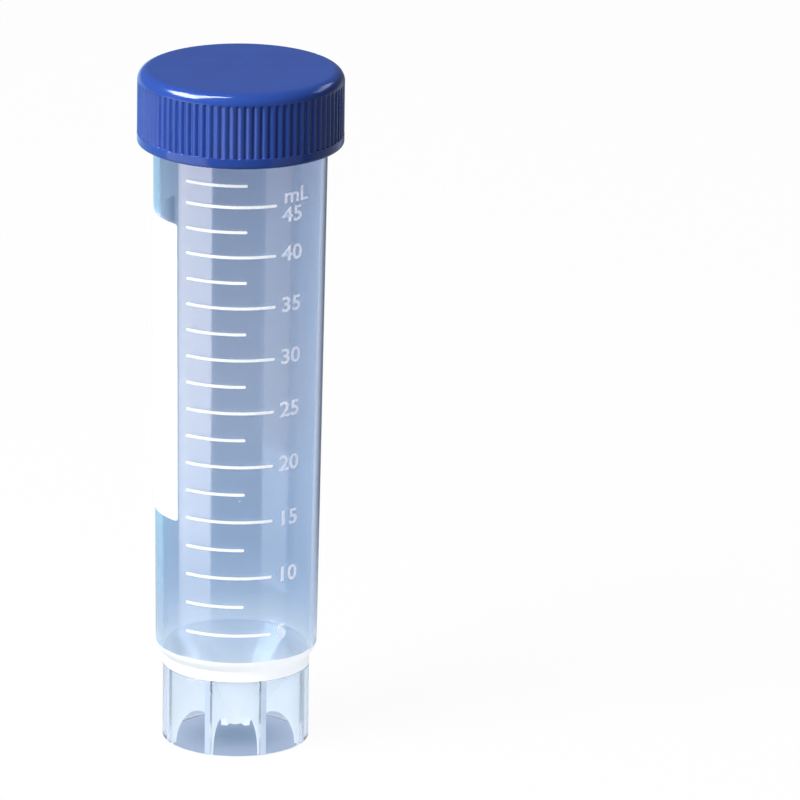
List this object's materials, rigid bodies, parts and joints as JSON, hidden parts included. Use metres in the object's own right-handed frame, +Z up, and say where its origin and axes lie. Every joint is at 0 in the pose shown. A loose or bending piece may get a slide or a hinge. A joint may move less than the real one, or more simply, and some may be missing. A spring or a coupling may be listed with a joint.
{
  "type": "50 ml conical centrifuge tube",
  "caption": "Self-standing translucent conical sample tube with a graduated scale, a write-on patch and a flat-top ribbed screw cap.",
  "frame": {"origin": "centre of the base ring, on the surface that the tube stands on", "axes": "+Z up along the tube's axis towards the cap; the scale faces -Y; +X is to the right when looking at the scale"},
  "size_m": [0.0348, 0.0348, 0.1174],
  "materials": {
    "tube_plastic": "clear bluish polypropylene, glossy outside",
    "cap_plastic": "blue moulded plastic, semi-gloss",
    "scale_ink": "thin white print, satin",
    "patch_ink": "white print with a writable matt surface"
  },
  "bodies": {
    "tube": {"tube": "tube_plastic", "long_marks": "scale_ink", "short_marks": "scale_ink", "write_on_patch": "patch_ink"},
    "cap": {"cap": "cap_plastic"}
  },
  "joints": [
    {"name": "cap_lift", "type": "slide", "parent": "tube", "child": "cap", "axis": [0, 0, 1], "range_m": [0, 0.03]}
  ]
}
